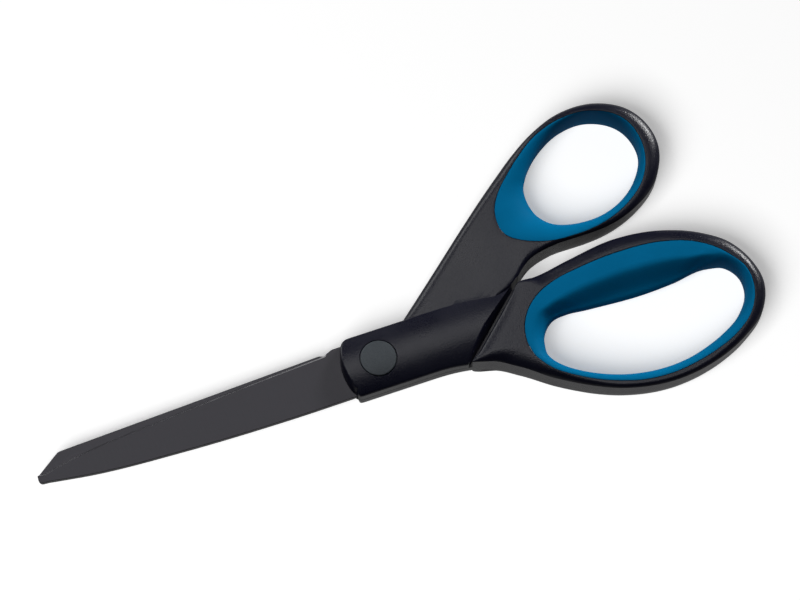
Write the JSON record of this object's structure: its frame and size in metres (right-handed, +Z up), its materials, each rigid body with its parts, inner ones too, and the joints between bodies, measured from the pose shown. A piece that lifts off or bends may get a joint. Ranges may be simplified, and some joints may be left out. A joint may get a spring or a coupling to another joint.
{
  "type": "scissors",
  "caption": "Office scissors with black-coated straight blades, asymmetric hard black handles with soft blue linings, and a screw pivot under cover caps.",
  "frame": {"origin": "on the pivot axis, at the underside of the lower cap, on which the closed pair lies", "axes": "+Z up along the pivot axis; -X along the closed blades to their tips, +X to the handles; +Y to the side of the thumb bow"},
  "size_m": [0.2106, 0.0864, 0.011],
  "materials": {
    "coated_steel": "satin black coating over ground steel",
    "hard_black": "finely textured black moulding",
    "soft_blue": "matte soft blue lining",
    "bright_steel": "plain zinc-plated steel",
    "nylon": "natural nylon"
  },
  "bodies": {
    "finger_half": {"lower_blade": "coated_steel", "finger_handle": "hard_black", "finger_lining": "soft_blue", "pivot_screw": "bright_steel", "spring_washer": "bright_steel", "pivot_nut": "bright_steel", "lower_cap": "hard_black"},
    "thumb_half": {"upper_blade": "coated_steel", "thumb_handle": "hard_black", "thumb_lining": "soft_blue", "pivot_bush": "nylon", "upper_cap": "hard_black"}
  },
  "joints": [
    {"name": "blade_pivot", "type": "hinge", "parent": "finger_half", "child": "thumb_half", "pos_m": [0, 0, 0.0055], "axis": [0, 0, 1], "range_deg": [0, 90]}
  ]
}
